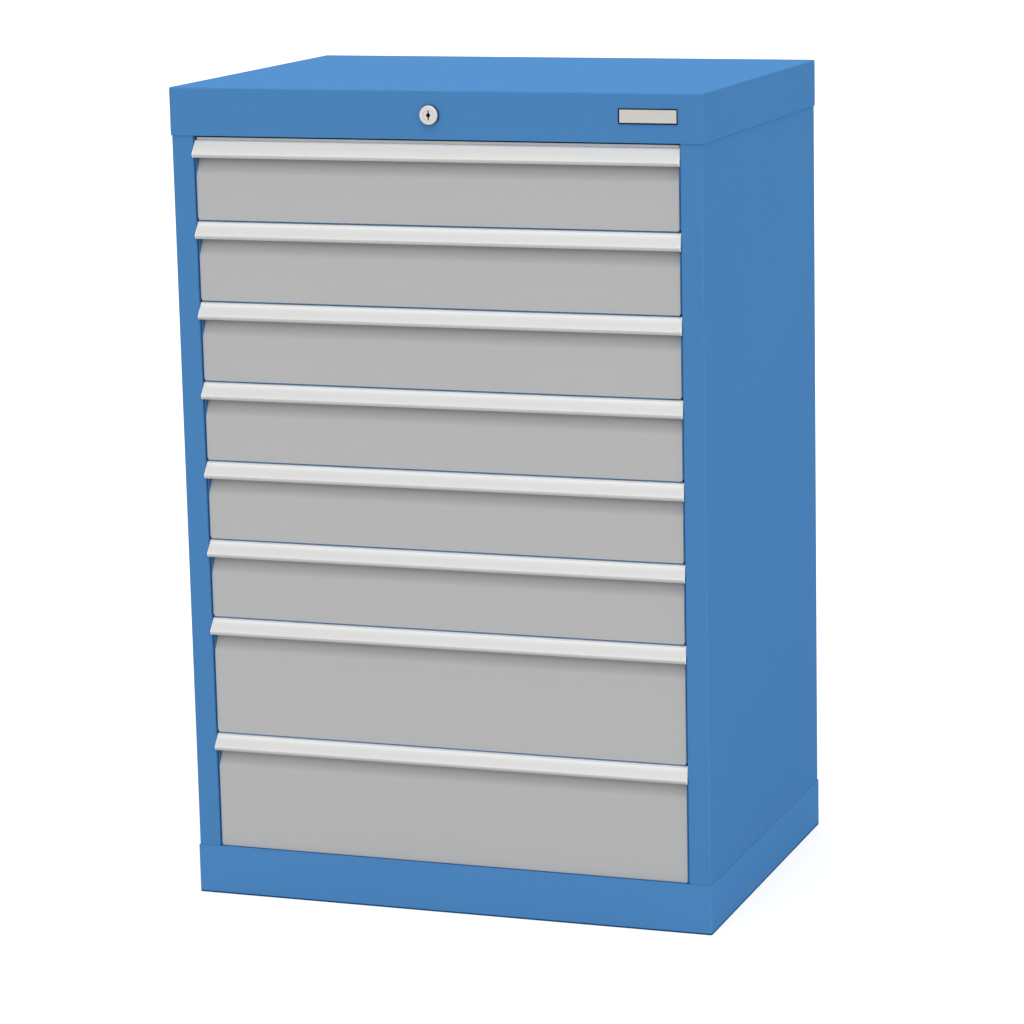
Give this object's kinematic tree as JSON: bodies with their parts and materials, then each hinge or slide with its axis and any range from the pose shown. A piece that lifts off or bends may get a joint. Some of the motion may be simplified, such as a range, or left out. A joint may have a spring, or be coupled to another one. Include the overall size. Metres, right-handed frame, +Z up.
{
  "type": "drawer cabinet",
  "caption": "Free-standing steel drawer cabinet with full-width grip strips, telescopic slides and a central lock in the header.",
  "frame": {"origin": "on the floor, under the middle of the whole outline", "axes": "+Z up, -Y out of the drawer fronts, +X to the right when facing them"},
  "size_m": [0.682, 0.505, 1.0245],
  "materials": {
    "body_paint": "satin powder coat, blue",
    "front_paint": "satin powder coat, light grey",
    "drawer_paint": "satin powder coat, blue",
    "grip_aluminium": "matt anodised",
    "slide_steel": "bright zinc plate, lightly greased",
    "zinc_steel": "zinc plate, dull",
    "lock_metal": "nickel plate, satin",
    "plate_metal": "matt, bare"
  },
  "bodies": {
    "cabinet": {"top_cover": "body_paint", "left_side_panel": "body_paint", "right_side_panel": "body_paint", "back_panel": "body_paint", "base_plinth": "body_paint", "base_plate": "body_paint", "runner_posts": "zinc_steel", "cabinet_rails": "slide_steel", "name_plate": "plate_metal", "lock_housing": "lock_metal", "lock_nut": "zinc_steel", "lock_bar_guides": "zinc_steel"},
    "lock_plug": {"lock_plug": "lock_metal", "lock_cam": "zinc_steel"},
    "transfer_bar": {"transfer_bar": "zinc_steel"},
    "lock_bar": {"lock_bar": "zinc_steel"},
    "drawer_1": {"drawer_1_front": "front_paint", "drawer_1_handle": "grip_aluminium", "drawer_1_box": "drawer_paint", "drawer_1_rails": "slide_steel"},
    "carriages_1": {"drawer_1_carriages": "slide_steel"},
    "drawer_2": {"drawer_2_front": "front_paint", "drawer_2_handle": "grip_aluminium", "drawer_2_box": "drawer_paint", "drawer_2_rails": "slide_steel"},
    "carriages_2": {"drawer_2_carriages": "slide_steel"},
    "drawer_3": {"drawer_3_front": "front_paint", "drawer_3_handle": "grip_aluminium", "drawer_3_box": "drawer_paint", "drawer_3_rails": "slide_steel"},
    "carriages_3": {"drawer_3_carriages": "slide_steel"},
    "drawer_4": {"drawer_4_front": "front_paint", "drawer_4_handle": "grip_aluminium", "drawer_4_box": "drawer_paint", "drawer_4_rails": "slide_steel"},
    "carriages_4": {"drawer_4_carriages": "slide_steel"},
    "drawer_5": {"drawer_5_front": "front_paint", "drawer_5_handle": "grip_aluminium", "drawer_5_box": "drawer_paint", "drawer_5_rails": "slide_steel"},
    "carriages_5": {"drawer_5_carriages": "slide_steel"},
    "drawer_6": {"drawer_6_front": "front_paint", "drawer_6_handle": "grip_aluminium", "drawer_6_box": "drawer_paint", "drawer_6_rails": "slide_steel"},
    "carriages_6": {"drawer_6_carriages": "slide_steel"},
    "drawer_7": {"drawer_7_front": "front_paint", "drawer_7_handle": "grip_aluminium", "drawer_7_box": "drawer_paint", "drawer_7_rails": "slide_steel"},
    "carriages_7": {"drawer_7_carriages": "slide_steel"},
    "drawer_8": {"drawer_8_front": "front_paint", "drawer_8_handle": "grip_aluminium", "drawer_8_box": "drawer_paint", "drawer_8_rails": "slide_steel"},
    "carriages_8": {"drawer_8_carriages": "slide_steel"}
  },
  "joints": [
    {"name": "lock_turn", "type": "hinge", "parent": "cabinet", "child": "lock_plug", "pos_m": [0, -0.2475, 0.995], "axis": [0, 1, 0], "range_deg": [0, 90]},
    {"name": "transfer_bar_slide", "type": "slide", "parent": "cabinet", "child": "transfer_bar", "axis": [-1, 0, 0], "range_m": [0, 0.01202]},
    {"name": "lock_bar_slide", "type": "slide", "parent": "cabinet", "child": "lock_bar", "axis": [0, 0, 1], "range_m": [0, 0.01202]},
    {"name": "drawer_1_slide", "type": "slide", "parent": "cabinet", "child": "drawer_1", "axis": [0, -1, 0], "range_m": [0, 0.43]},
    {"name": "carriages_1_slide", "type": "slide", "parent": "cabinet", "child": "carriages_1", "axis": [0, -1, 0], "range_m": [0, 0.215]},
    {"name": "drawer_2_slide", "type": "slide", "parent": "cabinet", "child": "drawer_2", "axis": [0, -1, 0], "range_m": [0, 0.43]},
    {"name": "carriages_2_slide", "type": "slide", "parent": "cabinet", "child": "carriages_2", "axis": [0, -1, 0], "range_m": [0, 0.215]},
    {"name": "drawer_3_slide", "type": "slide", "parent": "cabinet", "child": "drawer_3", "axis": [0, -1, 0], "range_m": [0, 0.43]},
    {"name": "carriages_3_slide", "type": "slide", "parent": "cabinet", "child": "carriages_3", "axis": [0, -1, 0], "range_m": [0, 0.215]},
    {"name": "drawer_4_slide", "type": "slide", "parent": "cabinet", "child": "drawer_4", "axis": [0, -1, 0], "range_m": [0, 0.43]},
    {"name": "carriages_4_slide", "type": "slide", "parent": "cabinet", "child": "carriages_4", "axis": [0, -1, 0], "range_m": [0, 0.215]},
    {"name": "drawer_5_slide", "type": "slide", "parent": "cabinet", "child": "drawer_5", "axis": [0, -1, 0], "range_m": [0, 0.43]},
    {"name": "carriages_5_slide", "type": "slide", "parent": "cabinet", "child": "carriages_5", "axis": [0, -1, 0], "range_m": [0, 0.215]},
    {"name": "drawer_6_slide", "type": "slide", "parent": "cabinet", "child": "drawer_6", "axis": [0, -1, 0], "range_m": [0, 0.43]},
    {"name": "carriages_6_slide", "type": "slide", "parent": "cabinet", "child": "carriages_6", "axis": [0, -1, 0], "range_m": [0, 0.215]},
    {"name": "drawer_7_slide", "type": "slide", "parent": "cabinet", "child": "drawer_7", "axis": [0, -1, 0], "range_m": [0, 0.43]},
    {"name": "carriages_7_slide", "type": "slide", "parent": "cabinet", "child": "carriages_7", "axis": [0, -1, 0], "range_m": [0, 0.215]},
    {"name": "drawer_8_slide", "type": "slide", "parent": "cabinet", "child": "drawer_8", "axis": [0, -1, 0], "range_m": [0, 0.43]},
    {"name": "carriages_8_slide", "type": "slide", "parent": "cabinet", "child": "carriages_8", "axis": [0, -1, 0], "range_m": [0, 0.215]}
  ],
  "couplings": [
    {"joint": "transfer_bar_slide", "follows": "lock_bar_slide", "ratio": 1},
    {"joint": "lock_turn", "follows": "lock_bar_slide", "rad_per_m": 130.68},
    {"joint": "carriages_1_slide", "follows": "drawer_1_slide", "ratio": 0.5},
    {"joint": "carriages_2_slide", "follows": "drawer_2_slide", "ratio": 0.5},
    {"joint": "carriages_3_slide", "follows": "drawer_3_slide", "ratio": 0.5},
    {"joint": "carriages_4_slide", "follows": "drawer_4_slide", "ratio": 0.5},
    {"joint": "carriages_5_slide", "follows": "drawer_5_slide", "ratio": 0.5},
    {"joint": "carriages_6_slide", "follows": "drawer_6_slide", "ratio": 0.5},
    {"joint": "carriages_7_slide", "follows": "drawer_7_slide", "ratio": 0.5},
    {"joint": "carriages_8_slide", "follows": "drawer_8_slide", "ratio": 0.5}
  ]
}
